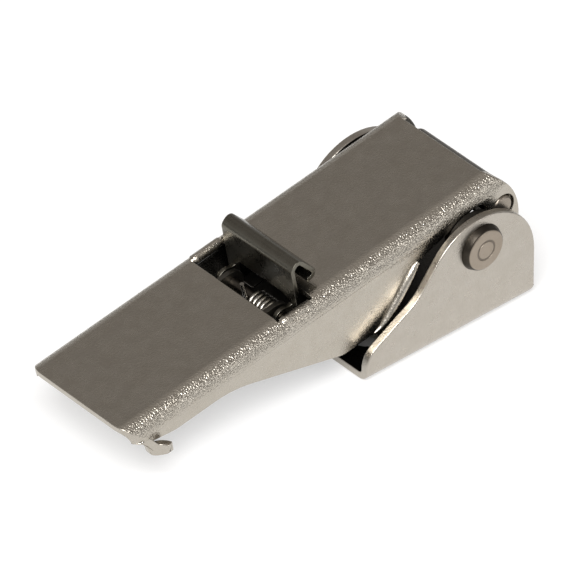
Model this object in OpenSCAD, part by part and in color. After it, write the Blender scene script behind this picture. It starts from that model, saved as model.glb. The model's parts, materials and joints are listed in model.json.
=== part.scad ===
// Over-centre toggle bolt latch in pressed stainless sheet, shown closed.
// +X runs from the lever's tip to the pivot end, Y across, +Z up from the mounting face.
// The origin is the middle of the four mounting holes, on the underside of the base.

/* [Base] */
// Length of the base along X
base_l = 37.6; // [34:0.1:50]
// Sheet thickness of the base
base_t = 1.5; // [1.2:0.1:1.7]
// Outside radius of the bend between floor and ear
base_bend_r = 2; // [1.8:0.1:3.5]
// Radius of the round top of each ear
ear_r = 12.2; // [11.5:0.1:13]
// Height of the centre of the round top of each ear
ear_z = 9.6; // [9:0.1:10.5]
// Height of the ear's front edge, where its curve starts
ear_front_h = 5.1; // [4.5:0.1:6.5]
// Radius of the ear's front corner
ear_front_r = 4.5; // [2:0.5:5]
// Radius of the hollow of the ear's curve
ear_dip_r = 12; // [7:1:14]
// Distance from the base's front edge to the foot of the steep part of the curve
ear_step_x = 11.2; // [9:0.1:12]
// Height of the foot of the steep part of the curve
ear_step_z = 11.4; // [10:0.1:12]
// Diameter of the four mounting holes
mount_hole_d = 4.3; // [3:0.1:5]
// Pitch of the mounting holes along X
mount_pitch_x = 24; // [18:0.5:26]
// Pitch of the mounting holes across Y
mount_pitch_y = 16; // [12:0.5:18]

/* [Pivot] */
// Height of the lever's pivot above the mounting face
pivot_z = 15.9; // [15.5:0.1:17]
// Diameter of the pivot rivets' shanks
rivet_d = 5; // [4:0.1:5.4]
// Diameter of the rivets' outer heads
rivet_head_d = 8.7; // [7.5:0.1:10]
// Height of the rivets' outer heads
rivet_head_h = 1.35; // [1:0.05:2]
// Chamfer round the rivets' outer heads
rivet_chamfer = 0.25; // [0.2:0.05:0.6]
// Diameter of the ring pressed into each head
rivet_ring_d = 3.6; // [2.5:0.1:4.5]
// Diameter of the rivets' inner heads
rivet_tail_d = 7; // [6.4:0.1:7.5]
// Height of the rivets' inner heads
rivet_tail_h = 1.1; // [0.8:0.1:1.5]
// Outside diameter of the spacer washers
washer_d = 9; // [7.5:0.1:10]
// Thickness of the spacer washers, which sets the ears' distance from the lever
washer_t = 1.3; // [1:0.1:1.8]

/* [Lever] */
// Slope of the closed lever's top, rising towards the pivot
lever_tilt = 9.1; // [7:0.1:10]
// Outside width of the lever
lever_w = 26.2; // [25.2:0.1:26.6]
// Sheet thickness of the lever
lever_t = 1.2; // [1:0.1:1.4]
// Outside radius of the bends along the lever's top
lever_bend_r = 3.2; // [2.7:0.1:3.5]
// Distance from the pivot to the lever's tip, along the top
lever_reach = 74.6; // [70:0.5:90]
// Height of the lever's top above the pivot, square to the top
lever_rise = 8.9; // [8.5:0.1:9.5]
// Depth of the lever's sides at the tip
side_h = 5.6; // [5:0.1:7]
// Depth of the lever's sides at the belly
belly_h = 14.7; // [14:0.1:15.2]
// Length over which the sides grow to their full depth at the tip
tip_taper_l = 9.6; // [8:0.1:11]
// Distance from the pivot to the place where the sides start to deepen
neck_reach = 52.5; // [50:0.5:55]
// Distance from the pivot to the front of the belly
belly_front = 29.2; // [27:0.1:31]
// Distance from the pivot to the rear of the belly
belly_rear = 20.5; // [20:0.1:22]
// Radius of the tip's corners, seen from above
tip_corner_r = 3.7; // [3:0.1:5]
// Radius of the lever's round rear end about the pivot
heel_r = 11.15; // [10.9:0.05:11.4]
// Radius of the boss round the pivot hole
boss_r = 4; // [3.4:0.1:4.2]
// Depth of the flange turned inwards along the curved edge
flange_d = 3; // [2:0.1:3.5]
// Distance from the tip back to the finger lugs
lug_back = 3.2; // [2.8:0.1:4]
// Drop of the finger lugs below the lever's sides
lug_drop = 2.2; // [1.8:0.1:3]
// Radius that the finger lugs curl outwards at
lug_curl_r = 3.6; // [3:0.1:4]
// Angle that the finger lugs curl through
lug_curl_a = 74; // [60:1:85]

/* [Window] */
// Distance from the pivot to the window's front edge
window_front = 40; // [39:0.1:41]
// Length of the window along the lever
window_l = 7.6; // [7.2:0.1:8]
// Width of the window
window_w = 22.4; // [21:0.1:22.8]

/* [Draw pin and hook] */
// Distance from the pivot to the draw pin, along the lever
draw_u = 7.9; // [7.5:0.1:8]
// Height of the draw pin above the pivot, square to the lever
draw_w = 1.75; // [1.6:0.05:1.9]
// Diameter of the draw pin
draw_pin_d = 4; // [3.6:0.1:4]
// How far each end of the draw pin stands out of the lever
draw_pin_out = 0.1; // [0.05:0.05:0.8]
// Diameter of the seat sunk into the lever's sides round the draw pin
pin_seat_d = 4.7; // [4.5:0.1:4.9]
// Depth of the seat round each end of the draw pin
pin_seat_h = 0.6; // [0.3:0.1:0.7]
// Sheet thickness of the draw hook
hook_t = 1.3; // [1.2:0.1:1.8]
// Width of the draw hook
hook_w = 13; // [10:0.5:13]
// Width of the draw hook's eye
eye_w = 19; // [14:0.5:19.4]
// Height of the middle of the draw hook's level run
hook_z = 7.4; // [7.2:0.1:7.7]
// Where the draw hook's level run starts, ahead of the base's middle
hook_level_x = 35; // [34:0.5:38]
// Where the inside face of the draw hook's nose lies, ahead of the base's middle
nose_x = 57; // [50:0.5:60]
// Depth of the nose below the middle of the draw hook
nose_drop = 4.8; // [4:0.1:5.5]
// Gap between the draw hook's catch shoulders and the lever's sides
shoulder_side = 2.3; // [2.1:0.1:2.6]
// Length of the catch shoulders
shoulder_l = 5; // [4:0.1:6]
// Gap between the toes of the catch and the front of the shoulders
shoulder_gap = 0.35; // [0.3:0.05:0.5]

/* [Catch] */
// Sheet thickness of the catch
catch_t = 0.8; // [0.7:0.05:0.9]
// Width of the catch
catch_w = 17.6; // [17:0.1:18]
// Distance from the window's front edge back to the catch pin
catch_pin_back = 3.9; // [3.7:0.1:4.2]
// Height of the catch pin above the pivot, square to the lever
catch_pin_w = 4; // [3.8:0.1:4.1]
// Diameter of the catch pin
catch_pin_d = 2.6; // [2.4:0.1:3]
// Height of the thumb tab above the lever's top
tab_h = 6.6; // [6.3:0.1:7]
// Wire diameter of the catch spring
wire_d = 0.9; // [0.7:0.05:1]
// Number of turns of the catch spring
spring_turns = 6; // [4:1:7]
// Inside diameter of the catch spring
spring_id = 3.8; // [3.6:0.1:4]
// Sheet thickness of the catch bracket
bracket_t = 1; // [0.8:0.1:1.2]
// Inside width of the catch bracket
bracket_in_w = 10.6; // [10:0.1:10.8]
// Length of the bracket's web, ahead of the window
bracket_reach = 8; // [6:0.5:12]
// Radius of the bracket's eyes round the catch pin
bracket_eye_r = 2.4; // [2.2:0.1:2.6]
// Radius of the catch's eyes round the catch pin
catch_eye_r = 2.3; // [2.1:0.1:2.5]
// Distance from the catch pin back to the middle of the catch's plate
plate_back = 2.7; // [2.6:0.05:2.75]
// Height of the arch's top above the catch pin
arch_top = 3.3; // [3.1:0.1:4]
// Gap between the toes and the undersides of the shoulders, catch home
toe_gap = 0.1; // [0.05:0.05:0.2]
// Length of each toe behind the middle of the plate
toe_l = 1.45; // [1.3:0.05:1.5]

/* [Fits] */
// Radial clearance of a hole that turns on a pin
turn_clear = 0.05; // [0.02:0.01:0.1]
// Side clearance between faces that slide past each other
side_clear = 0.1; // [0.05:0.05:0.2]

/* [Hidden] */
$fn = 48;
eps = 0.01;
far = 200;
steel = [0.72, 0.70, 0.66];
dark_steel = [0.45, 0.43, 0.40];
bright_steel = [0.82, 0.81, 0.78];

base_h2 = base_l / 2;
ear_in = lever_w / 2 + side_clear + washer_t;
base_w = 2 * (ear_in + base_t);
pivot_x = base_h2 - ear_r;
lever_in = lever_w / 2 - lever_t;
tail_y = lever_in - side_clear - rivet_tail_h;
side_bottom = lever_rise - side_h;
belly_bottom = lever_rise - belly_h;
draw_r = draw_pin_d / 2;
eye_in_r = draw_r + turn_clear;
eye_mid_r = eye_in_r + hook_t / 2;
draw_x = pivot_x + draw_u * cos(lever_tilt) - draw_w * sin(lever_tilt);
draw_z = pivot_z + draw_u * sin(lever_tilt) + draw_w * cos(lever_tilt);
catch_pin_u = window_front - catch_pin_back;
shoulder_w = 2 * (lever_in - shoulder_side);
catch_pin_x = pivot_x - catch_pin_u * cos(lever_tilt) - catch_pin_w * sin(lever_tilt);
catch_pin_z = pivot_z - catch_pin_u * sin(lever_tilt) + catch_pin_w * cos(lever_tilt);
home_turn = 8;
toe_u = plate_back + toe_l;
hook_fall = hook_slope();
toe_w = toe_height();
shoulder_x = catch_pin_x + toe_u * cos(lever_tilt) - toe_w * sin(lever_tilt) + shoulder_gap;
rear_u = sqrt(heel_r * heel_r - lever_rise * lever_rise);
arch_w = bracket_in_w + 2 * bracket_t + 10 * side_clear;
// Offsets of the curved edge's corners from the draw pin
knee_back = 19.7;
knee_lift = 0.75;
crown_back = 2.2;
crown_drop = 2.5;
foot_back = 3.3;
foot_lift = 0.65;
// Folds of the catch's thumb tab
plate_lean = 0.3;
fold_r = 0.9;
flap_back = 4.7;
flap_drop = 5.3;
lip_back = 2.3;
// Fixed leg of the spring
leg_slope = 7;
leg_front = 7;

// One step of arc points every few degrees, both ends included
function arc_pts(c, r, a0, a1, n = 8) =
    [for (i = [0 : n]) let (a = a0 + (a1 - a0) * i / n) c + r * [cos(a), sin(a)]];

// Arc that rounds corner p between its neighbours a and b
function corner_arc(a, p, b, r, n = 7) =
    let (u = (a - p) / norm(a - p), v = (b - p) / norm(b - p),
         half = acos(max(-1, min(1, u * v))) / 2,
         reach = r / tan(half),
         centre = p + (u + v) / norm(u + v) * r / sin(half),
         s = p + u * reach - centre, e = p + v * reach - centre,
         a0 = atan2(s[1], s[0]), turn = atan2(s[0] * e[1] - s[1] * e[0], s * e))
    arc_pts(centre, r, a0, a0 + turn, n);

// Open or closed path with corner k rounded by the third number of its point
function rounded(pts, closed = true) =
    let (n = len(pts))
    [for (k = [0 : n - 1])
        let (p = [pts[k][0], pts[k][1]], r = pts[k][2],
             a = pts[(k + n - 1) % n], b = pts[(k + 1) % n])
        if (r == 0 || (!closed && (k == 0 || k == n - 1))) p
        else each corner_arc([a[0], a[1]], p, [b[0], b[1]], r)];

// Unit normal to the left of a path at point i
function left_of(path, i) =
    let (n = len(path), d = path[min(i + 1, n - 1)] - path[max(i - 1, 0)])
    [-d[1], d[0]] / norm(d);

// Band of a given width between a path and its offset to the left
function band(path, width, shift = 0) =
    let (n = len(path))
    concat([for (i = [0 : n - 1]) path[i] + left_of(path, i) * shift],
           [for (i = [n - 1 : -1 : 0]) path[i] + left_of(path, i) * (shift + width)]);

// Puts a drawing made in X and Z between two places across Y
module across(y0, y1) {
    translate([0, y1, 0]) rotate([90, 0, 0]) linear_extrude(y1 - y0) children();
}

// Round bar across Y
module bar(x, z, r, y0, y1) {
    translate([x, y1, z]) rotate([90, 0, 0]) cylinder(r = r, h = y1 - y0);
}

// Puts a drawing made in Y and Z along X
module along(x0, x1) {
    translate([x0, 0, 0]) rotate([90, 0, 90]) linear_extrude(x1 - x0) children();
}

// Frame of the closed lever: origin at the pivot, first axis along the top
module on_lever() {
    translate([pivot_x, 0, pivot_z]) rotate([0, -lever_tilt, 0]) children();
}

// Block with its two upper edges rounded, seen along its length
module arch_block(w, h, r) {
    translate([-w / 2, -h]) square([w, h - r]);
    translate([-w / 2 + r, -h]) square([w - 2 * r, h]);
    for (s = [-1, 1]) translate([s * (w / 2 - r), -r]) circle(r = r);
}

// Bent sheet channel, open below
module channel(w, h, r, t) {
    difference() {
        arch_block(w, h, r);
        translate([0, -t]) arch_block(w - 2 * t, h, r - t);
    }
}

// Side outline of the base with its two S-curved ears
function ear_outline() =
    let (step = [ear_step_x - base_h2, ear_step_z],
         top = [pivot_x, ear_z],
         d = norm(top - step),
         a = atan2(top[1] - step[1], top[0] - step[0]) + asin(ear_r / d),
         touch = step + sqrt(d * d - ear_r * ear_r) * [cos(a), sin(a)],
         a_touch = atan2(touch[1] - top[1], touch[0] - top[0]))
    concat([[-base_h2, 0]],
           corner_arc([-base_h2, 0], [-base_h2, ear_front_h], step, ear_front_r, 10),
           corner_arc([-base_h2, ear_front_h], step, touch, ear_dip_r, 10),
           arc_pts(top, ear_r, a_touch, 0, 24),
           corner_arc([base_h2, ear_z], [base_h2, 0], [0, 0], 1.5));

module base() {
    color(steel) difference() {
        intersection() {
            along(-base_h2, base_h2) mirror([0, 1])
                channel(base_w, 2 * ear_z + ear_r, base_bend_r, base_t);
            across(-base_w, base_w) polygon(ear_outline());
        }
        for (x = [-1, 1], y = [-1, 1])
            translate([x * mount_pitch_x / 2, y * mount_pitch_y / 2, -1])
                cylinder(d = mount_hole_d, h = base_t + 2);
        bar(pivot_x, pivot_z, rivet_d / 2, -base_w, base_w);
    }
}

// Shouldered rivet through one ear, drawn with its head towards +Z
module pivot_rivet() {
    color(bright_steel) rotate_extrude() difference() {
        polygon([[0, tail_y], [rivet_tail_d / 2, tail_y],
                 [rivet_tail_d / 2, tail_y + rivet_tail_h],
                 [rivet_d / 2, tail_y + rivet_tail_h], [rivet_d / 2, base_w / 2],
                 [rivet_head_d / 2, base_w / 2],
                 [rivet_head_d / 2, base_w / 2 + rivet_head_h - rivet_chamfer],
                 [rivet_head_d / 2 - rivet_chamfer, base_w / 2 + rivet_head_h],
                 [0, base_w / 2 + rivet_head_h]]);
        translate([rivet_ring_d / 2 - 0.2, base_w / 2 + rivet_head_h - 0.15]) square([0.4, 1]);
    }
}

module spacer_washer() {
    color(dark_steel) difference() {
        bar(0, 0, washer_d / 2, ear_in - washer_t, ear_in);
        bar(0, 0, rivet_d / 2, 0, base_w);
    }
}

// s is -1 on the near side and 1 on the far side
module at_pivot(s) {
    translate([pivot_x, 0, pivot_z]) mirror([0, s < 0 ? 1 : 0, 0]) children();
}

module pivot_rivet_at(s) { at_pivot(s) rotate([-90, 0, 0]) pivot_rivet(); }
module pivot_rivet_near() { pivot_rivet_at(-1); }
module pivot_rivet_far() { pivot_rivet_at(1); }
module spacer_washer_near() { at_pivot(-1) spacer_washer(); }
module spacer_washer_far() { at_pivot(1) spacer_washer(); }

// Lower edge of the lever's side, from the tip to the end of its curved notch
neck = [-neck_reach, side_bottom, 22];
belly_a = [-belly_front, belly_bottom, 4];
belly_b = [-belly_rear, belly_bottom, 4.5];
knee = [draw_u - knee_back, draw_w + knee_lift, 4.5];
crown = [draw_u - crown_back, lever_rise - crown_drop, 2.4];
notch_foot = [draw_u - foot_back, draw_w + foot_lift, 0];
function lower_edge() =
    rounded([[-lever_reach, lever_rise, 0], [-lever_reach, side_bottom + 2.8, 1.5],
             [-lever_reach + 3, side_bottom + 1.3, 3],
             [-lever_reach + tip_taper_l, side_bottom, 10],
             neck, belly_a, belly_b, knee, crown, notch_foot], false);
function curved_edge() = rounded([belly_a, belly_b, knee, crown, notch_foot], false);

// Side outline of the lever in its own frame
function lever_outline() =
    concat([[-lever_reach, far]], lower_edge(),
           arc_pts([0, 0], boss_r, 30, 270, 20),
           arc_pts([0, 0], heel_r, -22, asin(lever_rise / heel_r), 16),
           [[rear_u, far]]);

// Plan outline of the lever's tip
module tip_plan() {
    w = lever_w / 2;
    polygon(rounded([[-lever_reach, -w - eps, tip_corner_r], [far, -w - eps, 0],
                     [far, w + eps, 0], [-lever_reach, w + eps, tip_corner_r]]));
}

// Finger lug curled outwards from the foot of one side, near the tip
module finger_lug() {
    mid = lever_w / 2 - lever_t / 2;
    start = -lever_reach + lug_back;
    low = side_bottom - lug_drop;
    end = mid + lug_curl_r * (1 - cos(lug_curl_a)) + lever_t / 4;
    path = concat([[start - 0.8, mid]],
                  arc_pts([start, mid + lug_curl_r], lug_curl_r, -90, lug_curl_a - 90, 10));
    intersection() {
        translate([0, 0, low]) linear_extrude(side_h)
            polygon(band(path, lever_t, -lever_t / 2));
        across(0, lever_w) polygon(rounded([
            [start - 0.9, side_bottom + 2.2, 0], [start + 0.2, side_bottom + 0.6, 1],
            [start + 0.6, low, 1.5], [start + 2 * lug_curl_r, low, 0],
            [start + 2 * lug_curl_r, side_bottom + 0.3, 0],
            [start + 2, side_bottom + 0.3, 0.5], [start + 0.8, side_bottom + 2.2, 0]]));
        along(-lever_reach, 0) polygon(rounded([
            [0, low, 0], [end, low, 1.8], [end, far, 0], [0, far, 0]]));
    }
}

module lever() {
    color(steel) on_lever() difference() {
        union() {
            intersection() {
                along(-lever_reach, heel_r) translate([0, lever_rise])
                    channel(lever_w, belly_h + heel_r, lever_bend_r, lever_t);
                across(-lever_w, lever_w) polygon(lever_outline());
                translate([0, 0, -far / 2]) linear_extrude(far) tip_plan();
            }
            for (s = [0, 1]) mirror([0, s, 0]) {
                across(lever_w / 2 - flange_d, lever_in + eps)
                    polygon(band(curved_edge(), lever_t));
                finger_lug();
            }
        }
        translate([-window_front, -window_w / 2, 0]) cube([window_l, window_w, far]);
        translate([rear_u, lever_bend_r - lever_w / 2, lever_rise - 2 * lever_t])
            cube([heel_r, lever_w - 2 * lever_bend_r, far]);
        bar(0, 0, rivet_d / 2 + turn_clear, -lever_w, lever_w);
        bar(draw_u, draw_w, draw_r, -lever_w, lever_w);
        for (s = [0, 1]) mirror([0, s, 0])
            bar(draw_u, draw_w, pin_seat_d / 2, lever_w / 2 - pin_seat_h, lever_w);
    }
}

module draw_pin() {
    end = lever_w / 2 + draw_pin_out;
    color(bright_steel) on_lever() translate([draw_u, -end, draw_w]) rotate([-90, 0, 0])
        rotate_extrude() polygon([[0, 0], [draw_r - 0.3, 0], [draw_r, 0.3],
            [draw_r, 2 * end - 0.3], [draw_r - 0.3, 2 * end], [0, 2 * end]]);
}

// Slope of the draw hook's strap, from the foot of its eye down to its level run
function hook_slope() =
    let (run = draw_x + hook_level_x, drop = draw_z - hook_z, d = norm([run, drop]))
    atan2(drop, run) - asin(eye_mid_r / d);

// Height of the toes' upper faces, so that they clear the sloping shoulders, catch home
function toe_height() =
    let (turn = lever_tilt + home_turn,
         under = hook_z - hook_t / 2 / cos(hook_fall) - toe_gap
             + (catch_pin_x + toe_u * cos(turn) + hook_level_x) * tan(hook_fall))
    (under - catch_pin_z - toe_u * sin(turn)) * cos(hook_fall) / cos(turn - hook_fall);

// Middle line of the draw hook, from its eye to the foot of its nose
function hook_line() =
    rounded([[draw_x + eye_mid_r * sin(hook_fall), draw_z - eye_mid_r * cos(hook_fall), 0],
             [-hook_level_x, hook_z, 20],
             [-nose_x - hook_t / 2, hook_z, hook_t / 2 + 1],
             [-nose_x - hook_t / 2, hook_z - nose_drop, 0]], false);

// Catch shoulders, standing out of both edges of the sloping strap
module shoulders() {
    level = hook_z + (shoulder_x + hook_level_x) * tan(hook_fall);
    translate([shoulder_x, 0, level]) rotate([0, -hook_fall, 0])
        translate([0, -shoulder_w / 2, -hook_t / 2]) cube([shoulder_l, shoulder_w, hook_t]);
}

module draw_hook() {
    color(dark_steel) difference() {
        union() {
            across(-hook_w / 2, hook_w / 2) polygon(band(hook_line(), hook_t, -hook_t / 2));
            bar(draw_x, draw_z, eye_in_r + hook_t, -eye_w / 2, eye_w / 2);
            shoulders();
        }
        bar(draw_x, draw_z, eye_in_r, -eye_w, eye_w);
    }
}

// Frame of the catch: the lever's frame, moved to the catch pin
module at_catch_pin() {
    on_lever() translate([-catch_pin_u, 0, catch_pin_w]) children();
}

module catch_bracket() {
    out = bracket_in_w / 2 + bracket_t;
    top = lever_rise - lever_t - catch_pin_w;
    front = window_front + bracket_reach - catch_pin_u;
    color(dark_steel) at_catch_pin() difference() {
        union() {
            translate([-front, -out, top - bracket_t])
                cube([bracket_reach - side_clear, 2 * out, bracket_t]);
            for (s = [0, 1]) mirror([0, s, 0]) {
                translate([-front, bracket_in_w / 2, -bracket_eye_r])
                    cube([front, bracket_t, bracket_eye_r + top - lever_t]);
                translate([-front, bracket_in_w / 2, 0])
                    cube([bracket_reach - side_clear, bracket_t, top]);
                bar(0, 0, bracket_eye_r, bracket_in_w / 2, out);
            }
        }
        bar(0, 0, catch_pin_d / 2, -lever_w, lever_w);
    }
}

module catch_pin() {
    end = arch_w / 2 + catch_t + side_clear + 0.4;
    color(bright_steel) at_catch_pin() bar(0, 0, catch_pin_d / 2, -end, end);
}

// Middle line of the catch, from the toes up the plate and round the thumb curl
function catch_line() =
    let (top = lever_rise + tab_h - catch_pin_w)
    rounded([[plate_back, toe_w - catch_t / 2, 0],
             [plate_back - plate_lean, top - 1.5, 1],
             [plate_back + 1.2, top - catch_t / 2, fold_r],
             [plate_back + flap_back, top - flap_drop, fold_r],
             [plate_back + flap_back - lip_back, top - flap_drop - 0.1, 0]], false);

module catch() {
    out = catch_w / 2;
    color(dark_steel) at_catch_pin() difference() {
        union() {
            difference() {
                across(-out, out) polygon(band(catch_line(), catch_t, -catch_t / 2));
                along(0, 2 * plate_back) polygon(rounded([
                    [-arch_w / 2, toe_w - 2 * catch_t, 0], [arch_w / 2, toe_w - 2 * catch_t, 0],
                    [arch_w / 2, arch_top, 2], [-arch_w / 2, arch_top, 2]]));
            }
            for (s = [0, 1]) mirror([0, s, 0]) {
                across(arch_w / 2, arch_w / 2 + catch_t) {
                    circle(r = catch_eye_r);
                    translate([0, 0.3 - catch_eye_r]) square([plate_back, 2 * catch_eye_r - 0.6]);
                }
                translate([plate_back, arch_w / 2, toe_w - catch_t])
                    cube([toe_l, out - arch_w / 2, catch_t]);
            }
        }
        bar(0, 0, catch_pin_d / 2 + turn_clear, -catch_w, catch_w);
    }
}

// Close-wound turns of the spring, each a ridge on one sleeve, and its two legs.
// The far leg rests on the front of the plate, where the arch ends.
module catch_spring() {
    mid_r = (spring_id + wire_d) / 2;
    first = -bracket_in_w / 2 + side_clear + wire_d / 2;
    last = first + wire_d * (spring_turns - 1);
    crest = spring_id / 2 + wire_d;
    rest = [plate_back - plate_lean - (catch_t + wire_d) / 2, arch_top];
    lean = atan2(rest[1], rest[0]) - acos(mid_r / norm(rest));
    color(bright_steel) at_catch_pin() {
        translate([0, first - wire_d / 2, 0]) rotate([-90, 0, 0]) rotate_extrude() polygon(concat(
            [[spring_id / 2, 0]],
            [for (i = [0 : spring_turns - 1], k = [0, 1, 2, 3])
                [crest - (k == 0 || k == 3 ? 0.3 * wire_d : 0),
                 (i + [0.02, 0.35, 0.65, 0.98][k]) * wire_d]],
            [[spring_id / 2, spring_turns * wire_d]]));
        translate([mid_r * cos(lean), last, mid_r * sin(lean)]) rotate([0, -lean, 0])
            cylinder(d = wire_d, h = norm(rest));
        translate([0, first, mid_r - 0.05]) rotate([0, -90 - leg_slope, 0])
            cylinder(d = wire_d, h = leg_front);
    }
}

base();
pivot_rivet_near();
pivot_rivet_far();
spacer_washer_near();
spacer_washer_far();
lever();
draw_pin();
draw_hook();
catch_bracket();
catch_pin();
catch();
catch_spring();
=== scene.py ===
"""Toggle bolt latch in pressed stainless sheet: finish, edges, spring and studio."""
import json
import math
import bpy
import bmesh
from mathutils import Matrix, Vector
from mathutils.bvhtree import BVHTree


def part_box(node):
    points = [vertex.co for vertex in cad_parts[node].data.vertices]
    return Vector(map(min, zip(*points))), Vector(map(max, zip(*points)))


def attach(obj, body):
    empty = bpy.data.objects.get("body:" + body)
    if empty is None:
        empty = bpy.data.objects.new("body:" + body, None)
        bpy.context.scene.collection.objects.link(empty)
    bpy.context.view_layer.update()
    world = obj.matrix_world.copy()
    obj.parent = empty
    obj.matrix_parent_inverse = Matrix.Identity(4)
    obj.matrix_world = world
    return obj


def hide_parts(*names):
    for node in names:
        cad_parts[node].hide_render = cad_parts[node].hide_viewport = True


# Sizes below are in millimetres and angles in degrees, unless a comment says otherwise
MM = 0.001

# Frame of the closed lever, as the joints give it
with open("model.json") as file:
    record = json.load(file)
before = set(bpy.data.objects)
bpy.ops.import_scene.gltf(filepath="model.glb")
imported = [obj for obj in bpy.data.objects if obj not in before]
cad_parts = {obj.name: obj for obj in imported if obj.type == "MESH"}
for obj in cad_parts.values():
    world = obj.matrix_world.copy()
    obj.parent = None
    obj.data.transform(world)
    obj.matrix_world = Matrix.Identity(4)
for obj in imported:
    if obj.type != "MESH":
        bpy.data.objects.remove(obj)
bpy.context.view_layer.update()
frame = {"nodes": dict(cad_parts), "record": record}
NODES = frame["nodes"]
RECORD = frame["record"]
JOINT = {joint["name"]: Vector(joint["pos_m"]) for joint in RECORD["behaviour"]["joints"]}
PIVOT = JOINT["lever_swing"]
CATCH_AXIS = JOINT["catch_press"]
LEVER_TILT = math.radians(9.1)
TO_LEVER = Matrix.Rotation(LEVER_TILT, 4, "Y") @ Matrix.Translation(-PIVOT)

# Camera: turn and rise, place it is held on, shift right and up, lens, and distance in metres
VIEW_TURN = 41.24
VIEW_RISE = 37.5
VIEW_SPOT = (-8, 0, 12.5)
VIEW_RIGHT = 10.68
VIEW_UP = 5.66
LENS = 748
SENSOR = 36
VIEW_FAR = 2.0

# Table top: radius and middle in metres, grey, and what it gives off by itself where it is seen
FLOOR_R = 0.14
FLOOR_AT = (-0.02, 0, -0.0002)
FLOOR_GREY = 0.52
FLOOR_LIFT = 0.5

# Distance from the base's edge in to its dark footprint on the table
FOOT_EDGE = 1.5

# Grey of the room by height, from straight below at 0 to straight above at 1, and its warmth
# below and past a height
ROOM = ((0.0, 0.13), (0.44, 0.24), (0.53, 0.26), (0.57, 0.56), (0.67, 0.56), (0.73, 0.44),
        (0.78, 0.30), (0.82, 0.235), (0.90, 0.34), (1.0, 0.50))
WARM_FROM = 0.7
WARM_LOW, WARM_HIGH = 0.01, 0.06

# Lamps: place, width and height in metres, and power in watts
LAMPS = {"key": ((-0.75, -0.7, 1.25), 1.0, 1.0, 30),
         "strip": ((0.32, -0.62, 0.26), 0.5, 0.12, 0.55)}
LAMP_AIM = (-0.02, 0, 0.012)

# Skin of the steel: size of its orange peel, strength of its mottle, how much deeper on the bends
PEEL_MM = 0.32
MOTTLE = 0.05
BEND_PEEL = 3.14

# Roundings left by shearing, pressing and tumbling
ROUNDING = {"lever": 0.18, "base": 0.27, "draw_hook": 0.22, "catch": 0.1, "catch_bracket": 0.1,
            "pivot_rivet_near": 0.08, "pivot_rivet_far": 0.08, "spacer_washer_near": 0.1,
            "spacer_washer_far": 0.1, "draw_pin": 0.1, "catch_pin": 0.1}

# Furthest that a rounded edge may leave its sheet, past which a corner is put back on it
STRAY = 0.12

# Steps of a rounding, the angle from which an edge is rounded, and the angles up to which sheet
# and wire are shaded smooth
EDGE_STEPS = 3
SHARP = 30
SMOOTH_SHEET = 32
SMOOTH_WIRE = 50

# Distance within which corners are welded, and the lever's own, which is larger
WELD = 0.002
LEVER_WELD = 0.1

# Distance within which a corner lies on a face that is looked for
ON_FACE = 0.02

# Rivet head: where it starts from the middle, its height, share by which its face is narrower,
# radius inside which it is left alone, and share of the pressed ring's depth that is filled
HEAD_FROM = 16.0
HEAD_T = 1.35
HEAD_TAPER = 0.12
SHANK_R = 2.5
RING_FILL = 0.3

# Washer: radius past which its rim is spread, and by how much
RIM_FROM = 3.2
RIM_SPREAD = 1.26

# Half width of the lever and of its window, and the stretch along the lever that holds the window
LEVER_HALF = 13.1
WINDOW_HALF = 11.2
WINDOW_NEAR = (-60.0, -20.0)

# Curved edge: stretch along the lever, top of it, and distance from the pivot that clears the hole
CURVE_NEAR = (-26.0, 5.0)
CURVE_TOP = 7.0
PIVOT_CLEAR = 4.6

# Bead along the curved edge: radius, its middle's distance from the lever's, where it stops
# short of the ear, the distance between the places it runs through, the length over which it
# swells at its front, and where it starts to thin towards the ear and over what length
BEAD_R = 1.0
BEAD_Y = 12.95
BEAD_END = -11.0
BEAD_STEP = 0.8
BEAD_SWELL = 2.5
BEAD_THIN = -13.5
BEAD_THIN_L = 4

# Lip along the window's sides: radius, height of its middle above the pivot, its middle's
# distance out from the window's side, and its steps
LIP_R = 0.95
LIP_W = 7.75
LIP_OUT = 0.1
LIP_STEPS = 9

# Share of its radius that a round bar keeps at its two ends
BAR_TIP = 0.35

# Spring: wire's thickness and sides, radius of the coil's middle line, pitch, turns, steps a turn,
# the moves of its near and its far leg, and how far the coil hangs off the pin's axis
WIRE = 0.8
WIRE_SIDES = 12
COIL_R = 2.35
PITCH = 0.92
TURNS = 4.75
TURN_STEPS = 28
NEAR_LEG = ((-7, 0, -0.86),)
FAR_LEG = ((0.79, 0, 2.72), (-0.31, 0, 3.02))
HANG = (-0.4, -0.45)


# ---------- helpers ----------

def math_step(tree, kind, a, b=None):
    """Output of a math node fed by a socket, and by a second socket or a number."""
    step = tree.nodes.new("ShaderNodeMath")
    step.operation = kind
    tree.links.new(a, step.inputs[0])
    if isinstance(b, (int, float)):
        step.inputs[1].default_value = b
    elif b is not None:
        tree.links.new(b, step.inputs[1])
    return step.outputs[0]


def take(ob):
    """Leaves one object selected and active."""
    bpy.ops.object.select_all(action="DESELECT")
    ob.select_set(True)
    bpy.context.view_layer.objects.active = ob


def add_object(name, data):
    """New object in the scene."""
    ob = bpy.data.objects.new(name, data)
    bpy.context.scene.collection.objects.link(ob)
    return ob


# ---------- studio ----------

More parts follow.
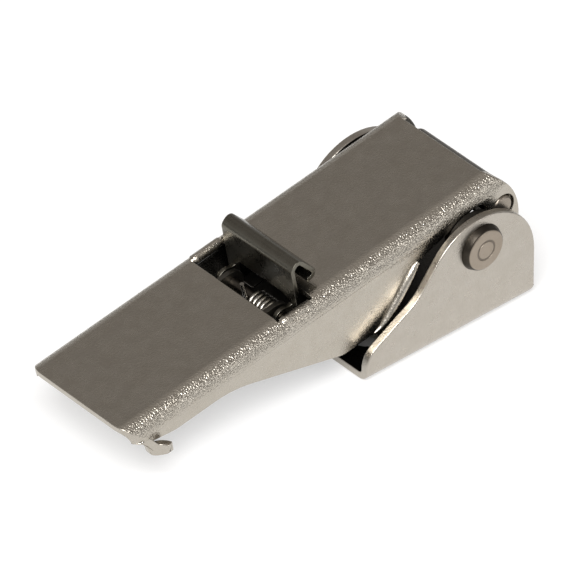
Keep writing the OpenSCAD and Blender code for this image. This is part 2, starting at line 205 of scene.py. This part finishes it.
def add_camera():
    """Long lens looking down along the lever's near side."""
    turn, rise = math.radians(VIEW_TURN), math.radians(VIEW_RISE)
    back = Vector((-math.sin(turn) * math.cos(rise), -math.cos(turn) * math.cos(rise), math.sin(rise)))
    right = Vector((math.cos(turn), -math.sin(turn), 0))
    up = back.cross(right)
    aim = (Vector(VIEW_SPOT) - right * VIEW_RIGHT - up * VIEW_UP) * MM
    cam = bpy.data.cameras.new("camera")
    cam.lens, cam.sensor_width = LENS, SENSOR
    cam.clip_start, cam.clip_end = 0.1, 20
    ob = add_object("camera", cam)
    place = Matrix((right, up, back)).transposed().to_4x4()
    place.translation = aim + back * VIEW_FAR
    ob.matrix_world = place
    bpy.context.scene.camera = ob


def add_lamp(name, place, width, height, power):
    """Soft oblong light at a place, aimed at the latch."""
    lamp = bpy.data.lights.new(name, "AREA")
    lamp.shape, lamp.size, lamp.size_y, lamp.energy = "RECTANGLE", width, height, power
    place = Vector(place)
    turn = (place - Vector(LAMP_AIM)).to_track_quat("Z", "Y").to_matrix().to_4x4()
    add_object(name, lamp).matrix_world = Matrix.Translation(place) @ turn


def clear_of_base(tree):
    """1 on the open table, 0 under the base's floor, so that its holes look dark."""
    coord = tree.nodes.new("ShaderNodeTexCoord")
    split = tree.nodes.new("ShaderNodeSeparateXYZ")
    tree.links.new(coord.outputs["Object"], split.inputs[0])
    _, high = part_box("base")
    past = []
    for axis, reach in (("X", high[0]), ("Y", high[1])):
        size = math_step(tree, "ABSOLUTE", split.outputs[axis])
        past.append(math_step(tree, "GREATER_THAN", size, reach - FOOT_EDGE * MM))
    return math_step(tree, "MAXIMUM", *past)


def add_floor():
    """Pale table top, small enough that the dark of the room lies beyond it."""
    bpy.ops.object.select_all(action="DESELECT")
    bpy.ops.mesh.primitive_circle_add(vertices=64, radius=FLOOR_R, fill_type="NGON",
                                      location=FLOOR_AT)
    bpy.ops.object.transform_apply(location=True)
    floor = bpy.context.object
    floor.name = "table_top"
    mat = bpy.data.materials.new("pale_table")
    mat.use_nodes = True
    tree = mat.node_tree
    shader = tree.nodes["Principled BSDF"]
    shader.inputs["Base Color"].default_value = (FLOOR_GREY, FLOOR_GREY, FLOOR_GREY, 1)
    shader.inputs["Roughness"].default_value = 0.9
    shader.inputs["Specular IOR Level"].default_value = 0
    path = tree.nodes.new("ShaderNodeLightPath")
    seen = path.outputs["Is Camera Ray"]
    for ray in ("Is Glossy Ray", "Is Transmission Ray"):
        seen = math_step(tree, "MAXIMUM", seen, path.outputs[ray])
    lift = math_step(tree, "MULTIPLY", seen, clear_of_base(tree))
    shader.inputs["Emission Color"].default_value = (FLOOR_LIFT, FLOOR_LIFT, FLOOR_LIFT, 1)
    tree.links.new(lift, shader.inputs["Emission Strength"])
    floor.data.materials.append(mat)


def set_world():
    """Grey room seen only by the steel: dim below, a bright band low down, white to the camera."""
    world = bpy.data.worlds.new("studio")
    bpy.context.scene.world = world
    world.use_nodes = True
    tree = world.node_tree
    sky = tree.nodes["Background"]
    coord = tree.nodes.new("ShaderNodeTexCoord")
    split = tree.nodes.new("ShaderNodeSeparateXYZ")
    tree.links.new(coord.outputs["Generated"], split.inputs[0])
    ramp = tree.nodes.new("ShaderNodeValToRGB")
    height = tree.nodes.new("ShaderNodeMapRange")
    height.inputs["From Min"].default_value = -1
    tree.links.new(split.outputs["Z"], height.inputs["Value"])
    tree.links.new(height.outputs[0], ramp.inputs["Fac"])
    ramp.color_ramp.elements[0].position = ROOM[0][0]
    ramp.color_ramp.elements[1].position = ROOM[-1][0]
    for place, _ in ROOM[1:-1]:
        ramp.color_ramp.elements.new(place)
    for stop, (_, grey) in zip(ramp.color_ramp.elements, ROOM):
        warm = WARM_HIGH if stop.position > WARM_FROM else WARM_LOW
        stop.color = (grey, grey * (1 - warm), grey * (1 - 1.8 * warm), 1)
    tree.links.new(ramp.outputs["Color"], sky.inputs["Color"])
    white = tree.nodes.new("ShaderNodeBackground")
    white.inputs["Color"].default_value = (1, 1, 1, 1)
    path = tree.nodes.new("ShaderNodeLightPath")
    mix = tree.nodes.new("ShaderNodeMixShader")
    tree.links.new(path.outputs["Is Camera Ray"], mix.inputs["Fac"])
    tree.links.new(sky.outputs[0], mix.inputs[1])
    tree.links.new(white.outputs[0], mix.inputs[2])
    tree.links.new(mix.outputs[0], tree.nodes["World Output"].inputs["Surface"])


# ---------- finishes ----------

def steel_finish(name, colour, rough, peel, inside=None, bends=None):
    """Tumbled steel: orange-peel skin, faint mottle, painted shade inside, coarser skin on the bends.

    inside gives the room under the sheet that is darkened as painted shade: where it starts along X,
    its half width, floor, ceiling and corner radius, and the share of the colour left there. bends
    gives the half width and the height past which the sheet is bent. All but the share are in
    millimetres, and for the lever they are in the frame of its own top."""
    mat = bpy.data.materials.new(name)
    mat.use_nodes = True
    tree = mat.node_tree
    new, link = tree.nodes.new, tree.links.new
    shader = tree.nodes["Principled BSDF"]
    shader.inputs["Metallic"].default_value = 1.0
    coord = new("ShaderNodeTexCoord")

    def noise(size_mm, detail):
        tex = new("ShaderNodeTexNoise")
        tex.inputs["Scale"].default_value = 1 / (size_mm * MM)
        tex.inputs["Detail"].default_value = detail
        link(coord.outputs["Object"], tex.inputs["Vector"])
        return tex.outputs["Fac"]

    def ranged(value, start, end, low=0.0, high=1.0):
        ramp = new("ShaderNodeMapRange")
        for key, number in (("From Min", start), ("From Max", end), ("To Min", low), ("To Max", high)):
            ramp.inputs[key].default_value = number
        link(value, ramp.inputs["Value"])
        return ramp.outputs[0]

    def clouds(large, small):
        """Two sizes of noise added, each with its size, its detail, and its low and high value."""
        parts = [ranged(noise(size, detail), 0.3, 0.7, low, high)
                 for size, detail, low, high in (large, small)]
        return math_step(tree, "ADD", *parts)

    own = new("ShaderNodeMapping")
    own.vector_type = "POINT"
    if name == "lever_sheet":
        own.inputs["Rotation"].default_value = (0, LEVER_TILT, 0)
        own.inputs["Location"].default_value = TO_LEVER.to_translation()
    link(coord.outputs["Object"], own.inputs["Vector"])
    axes = new("ShaderNodeSeparateXYZ")
    link(own.outputs[0], axes.inputs[0])
    out_y = math_step(tree, "ABSOLUTE", axes.outputs["Y"])

    tint = new("ShaderNodeMix")
    tint.data_type = "RGBA"
    warm = (1 - MOTTLE, 1 - 1.25 * MOTTLE, 1 - 1.7 * MOTTLE)
    pale = (1 + MOTTLE, 1 + MOTTLE, 1 + MOTTLE)
    tint.inputs[6].default_value = (*(c * k for c, k in zip(colour, warm)), 1)
    tint.inputs[7].default_value = (*(min(1, c * k) for c, k in zip(colour, pale)), 1)
    link(clouds((2.6, 4, 0.0, 0.6), (0.45, 2, 0.0, 0.4)), tint.inputs["Factor"])
    skin = tint.outputs[2]
    # Painted shade: the colour is lowered to a share inside the sheet's hollows, where shade falls
    if inside:
        start, half, low, high, corner, share = inside
        above = math_step(tree, "SUBTRACT", axes.outputs["Z"], (high - corner) * MM)
        below = math_step(tree, "SUBTRACT", axes.outputs["Z"], (low + corner) * MM)
        below = math_step(tree, "MULTIPLY", below, -1.0)
        beside = math_step(tree, "SUBTRACT", out_y, (half - corner) * MM)
        off = new("ShaderNodeCombineXYZ")
        link(math_step(tree, "MAXIMUM", beside, 0.0), off.inputs[0])
        link(math_step(tree, "MAXIMUM", math_step(tree, "MAXIMUM", above, below), 0.0), off.inputs[1])
        reach = new("ShaderNodeVectorMath")
        reach.operation = "LENGTH"
        link(off.outputs[0], reach.inputs[0])
        within = ranged(reach.outputs["Value"], (corner + 0.15) * MM, (corner + 0.05) * MM)
        past = ranged(axes.outputs["X"], (start - 1) * MM, (start + 1) * MM)
        painted_shade = new("ShaderNodeMix")
        painted_shade.data_type = "RGBA"
        painted_shade.inputs[7].default_value = (*(c * share for c in colour), 1)
        link(math_step(tree, "MULTIPLY", within, past), painted_shade.inputs["Factor"])
        link(skin, painted_shade.inputs[6])
        skin = painted_shade.outputs[2]
    link(skin, shader.inputs["Base Color"])
    link(clouds((2.2, 4, rough - 0.04, rough + 0.04), (0.25, 2, -0.03, 0.03)), shader.inputs["Roughness"])
    bump = new("ShaderNodeBump")
    bump.inputs["Strength"].default_value = 1.0
    bump.inputs["Distance"].default_value = peel * MM
    grain = noise(PEEL_MM, 1)
    if bends:
        side, top = bends
        over = math_step(tree, "MULTIPLY", ranged(out_y, side * MM, (side + 1.5) * MM),
                         ranged(axes.outputs["Z"], top * MM, (top + 1.0) * MM))
        deeper = math_step(tree, "ADD", math_step(tree, "MULTIPLY", over, BEND_PEEL), 1.0)
        grain = math_step(tree, "MULTIPLY", grain, deeper)
    link(grain, bump.inputs["Height"])
    link(bump.outputs["Normal"], shader.inputs["Normal"])
    return mat


# The inside entries paint shade into the hollows of the base, the lever, the rivets' shanks and the pin
FINISH = {
    "base_sheet": steel_finish("base_sheet", (0.44, 0.41, 0.365), 0.30, 0.040,
                               inside=(-60, 14.5, 1.5, 60, 0.5, 0.07)),
    "lever_sheet": steel_finish("lever_sheet", (0.44, 0.41, 0.36), 0.25, 0.035,
                                inside=(-61, 11.9, -60, 7.7, 2.0, 0.12), bends=(10.0, 5.0)),
    "rivet": steel_finish("rivet", (0.32, 0.275, 0.225), 0.36, 0.015,
                          inside=(-60, 17.15, -60, 60, 0.0, 0.15)),
    # Near-black washer colour is painted shade, standing for the dark gap between ear and lever
    "washer": steel_finish("washer", (0.045, 0.042, 0.038), 0.45, 0.020),
    "pin": steel_finish("pin", (0.30, 0.265, 0.225), 0.30, 0.010,
                        inside=(-60, 8.5, -60, 60, 0.0, 0.3)),
    "hook_sheet": steel_finish("hook_sheet", (0.15, 0.14, 0.125), 0.38, 0.030),
    "bracket_sheet": steel_finish("bracket_sheet", (0.12, 0.113, 0.10), 0.36, 0.025),
    "catch_sheet": steel_finish("catch_sheet", (0.15, 0.142, 0.12), 0.30, 0.022),
    "spring_wire": steel_finish("spring_wire", (0.32, 0.305, 0.28), 0.22, 0.004),
}


# ---------- pieces ----------

SLOT = {part["node"]: part["material_slot"] for part in RECORD["subparts"]}
BODY = {node: body for body, nodes in RECORD["behaviour"]["bodies"].items() for node in nodes}


def finish_piece(ob, node):
    """Gives a piece its finish, and lets it stand for its CAD node."""
    ob.data.materials.clear()
    ob.data.materials.append(FINISH[SLOT[node]])
    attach(ob, BODY[node])
    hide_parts(node)


def cone_head(mesh):
    """Narrows a rivet's head towards its face, and leaves the ring in it shallow."""
    for vert in mesh.vertices:
        out = abs(vert.co.y) / MM - HEAD_FROM
        spot = vert.co - PIVOT
        spot.y = 0
        if out > 0 and spot.length > SHANK_R * MM:
            vert.co -= spot * HEAD_TAPER * out / HEAD_T
        elif out > HEAD_T / 2:
            vert.co.y += math.copysign((HEAD_T - out) * RING_FILL * MM, vert.co.y)


def wide_washer(mesh):
    """Spreads a washer's rim, so that it closes the room between ear and lever, where its near-black colour
    stands as painted shade.
    """
    for vert in mesh.vertices:
        spot = vert.co - PIVOT
        spot.y = 0
        if spot.length > RIM_FROM * MM:
            vert.co += spot * (RIM_SPREAD - 1)


def pressed_copy(node, width):
    """Copy of a CAD node with its sharp edges rounded."""
    ob = add_object(node + "_form", NODES[node].data.copy())
    take(ob)
    bm = bmesh.new()
    bm.from_mesh(ob.data)
    bmesh.ops.remove_doubles(bm, verts=bm.verts, dist=(LEVER_WELD if node == "lever" else WELD) * MM)
    bmesh.ops.dissolve_limit(bm, angle_limit=math.radians(0.5), verts=bm.verts, edges=bm.edges)
    weight = bm.edges.layers.float.new("bevel_weight_edge")
    for edge in bm.edges:
        if edge.is_manifold and edge.calc_face_angle() > math.radians(SHARP):
            edge[weight] = 1
    bm.to_mesh(ob.data)
    skin = BVHTree.FromBMesh(bm)
    bm.free()
    bevel = ob.modifiers.new("edges", "BEVEL")
    bevel.width = width * MM
    bevel.segments = EDGE_STEPS
    bevel.limit_method = "WEIGHT"
    bevel.use_clamp_overlap = False
    bevel.harden_normals = False
    bpy.ops.object.modifier_apply(modifier="edges")
    for vert in ob.data.vertices:
        near, _, _, gap = skin.find_nearest(vert.co)
        if gap > STRAY * MM:
            vert.co = near
    if SLOT[node] == "rivet":
        cone_head(ob.data)
    elif SLOT[node] == "washer":
        wide_washer(ob.data)
    bpy.ops.object.shade_smooth_by_angle(angle=math.radians(SMOOTH_SHEET))
    even = ob.modifiers.new("even", "WEIGHTED_NORMAL")
    even.keep_sharp = True
    even.weight = 80
    bpy.ops.object.modifier_apply(modifier="even")
    finish_piece(ob, node)


def tube(name, spots, thick, shares=None):
    """Round bar through a row of places in the lever's frame, thinned at both ends or by shares."""
    line = bpy.data.curves.new(name, "CURVE")
    line.dimensions = "3D"
    line.bevel_depth = thick * MM
    line.bevel_resolution = 5
    line.use_fill_caps = True
    spline = line.splines.new("POLY")
    spline.points.add(len(spots) - 1)
    for point, spot in zip(spline.points, spots):
        point.co = (*(TO_LEVER.inverted() @ (Vector(spot) * MM)), 1)
    spline.points[0].radius = spline.points[-1].radius = BAR_TIP
    if shares:
        for point, share in zip(spline.points, shares):
            point.radius = share
    ob = add_object(name, line)
    take(ob)
    bpy.ops.object.convert(target="MESH")
    bpy.ops.object.mode_set(mode="EDIT")
    bpy.ops.mesh.select_all(action="SELECT")
    bpy.ops.mesh.remove_doubles(threshold=0.01 * MM)
    bpy.ops.mesh.normals_make_consistent(inside=False)
    bpy.ops.object.mode_set(mode="OBJECT")
    bpy.ops.object.shade_smooth_by_angle(angle=math.radians(SMOOTH_WIRE))
    ob.data.materials.append(FINISH["lever_sheet"])
    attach(ob, BODY["lever"])


def curved_edge():
    """Corners along the curved lower edge of the lever's side, from belly to crown."""
    bm = bmesh.new()
    bm.from_mesh(NODES["lever"].data)
    bmesh.ops.remove_doubles(bm, verts=bm.verts, dist=WELD * MM)
    left = set()
    for vert in bm.verts:
        u, y, w = TO_LEVER @ vert.co / MM
        sharp = any(edge.calc_face_angle(0) > 0.6 for edge in vert.link_edges)
        on_bend = u < -9 and w > 4
        in_reach = CURVE_NEAR[0] < u < CURVE_NEAR[1] and w < CURVE_TOP and math.hypot(u, w) > PIVOT_CLEAR
        if sharp and abs(y - LEVER_HALF) < ON_FACE and in_reach and not on_bend:
            left.add((round(u, 4), round(w, 4)))
    bm.free()
    path = [min(left)]
    left.discard(path[0])
    while left:
        path.append(min(left, key=lambda spot: math.dist(spot, path[-1])))
        left.discard(path[-1])
    return path


def evened(path, step):
    """Places a step apart along a path."""
    spots = [path[0]]
    for a, b in zip(path, path[1:]):
        count = max(1, round(math.dist(a, b) / step))
        spots += [tuple(p + (q - p) * k / count for p, q in zip(a, b)) for k in range(1, count + 1)]
    return spots


def curved_beads():
    """Round bead pressed out along the curved edge of each side."""
    path = [spot for spot in evened(curved_edge(), BEAD_STEP) if spot[0] < BEAD_END]
    shares = []
    for u, _ in path:
        rise = min(1, 0.3 + 0.7 * (u - path[0][0]) / BEAD_SWELL)
        fall = min(1, max(0.25, 1 - 0.75 * (u - BEAD_THIN) / BEAD_THIN_L))
        shares.append(min(rise, fall))
    for name, side in (("near", -1), ("far", 1)):
        tube("curved_bead_" + name, [(u, side * BEAD_Y, w) for u, w in path], BEAD_R, shares)


def window_lips():
    """Rounded lip left by piercing along each side of the window."""
    lever = [TO_LEVER @ v.co / MM for v in NODES["lever"].data.vertices]
    cut = [p.x for p in lever if abs(abs(p.y) - WINDOW_HALF) < ON_FACE and p.z > 6
           and WINDOW_NEAR[0] < p.x < WINDOW_NEAR[1]]
    first, last = min(cut), max(cut)
    for name, side in (("near", -1), ("far", 1)):
        row = [(first + (last - first) * k / LIP_STEPS, side * (WINDOW_HALF + LIP_OUT), LIP_W)
               for k in range(LIP_STEPS + 1)]
        tube("window_lip_" + name, row, LIP_R)


def coil_spring():
    """Close turns of round wire hanging on the catch pin, with two straight legs."""
    bpy.ops.object.select_all(action="DESELECT")
    bpy.ops.mesh.primitive_circle_add(vertices=WIRE_SIDES, radius=WIRE / 2 * MM, fill_type="NOTHING",
                                      rotation=(0, math.radians(90), 0))
    bpy.ops.object.transform_apply(rotation=True)
    ob = bpy.context.object
    ob.name = "catch_spring_wire"
    bpy.ops.object.mode_set(mode="EDIT")
    bpy.ops.mesh.select_all(action="SELECT")
    bpy.ops.transform.translate(value=(0, 0, COIL_R * MM))
    bpy.ops.object.mode_set(mode="OBJECT")
    coil = ob.modifiers.new("coil", "SCREW")
    coil.axis = "Y"
    coil.angle = math.radians(360 * TURNS)
    coil.screw_offset = TURNS * PITCH * MM
    coil.steps = coil.render_steps = round(TURN_STEPS * TURNS)
    bpy.ops.object.modifier_apply(modifier="coil")
    count = len(ob.data.vertices)
    for ring, moves in ((range(WIRE_SIDES), NEAR_LEG), (range(count - WIRE_SIDES, count), FAR_LEG)):
        bpy.ops.object.mode_set(mode="EDIT")
        bpy.ops.mesh.select_all(action="DESELECT")
        bpy.ops.object.mode_set(mode="OBJECT")
        for k in ring:
            ob.data.vertices[k].select = True
        bpy.ops.object.mode_set(mode="EDIT")
        bpy.ops.mesh.select_mode(type="VERT")
        for move in moves:
            bpy.ops.mesh.extrude_region_move(
                TRANSFORM_OT_translate={"value": tuple(step * MM for step in move)})
        bpy.ops.mesh.edge_face_add()
        bpy.ops.object.mode_set(mode="OBJECT")
    bpy.ops.object.mode_set(mode="EDIT")
    bpy.ops.mesh.select_all(action="SELECT")
    bpy.ops.mesh.normals_make_consistent(inside=False)
    bpy.ops.object.mode_set(mode="OBJECT")
    bpy.ops.object.shade_smooth_by_angle(angle=math.radians(SMOOTH_WIRE))
    near_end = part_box("catch_spring")[0][1] + WIRE / 2 * MM
    hang = Matrix.Rotation(-LEVER_TILT, 4, "Y") @ Matrix.Translation((HANG[0] * MM, near_end, HANG[1] * MM))
    ob.data.transform(Matrix.Translation(CATCH_AXIS) @ hang)
    finish_piece(ob, "catch_spring")


for name, width in ROUNDING.items():
    pressed_copy(name, width)
curved_beads()
window_lips()
coil_spring()
add_camera()
add_floor()
set_world()
for name, (place, width, height, power) in LAMPS.items():
    add_lamp(name, place, width, height, power)

bpy.context.scene.view_settings.view_transform = "Standard"
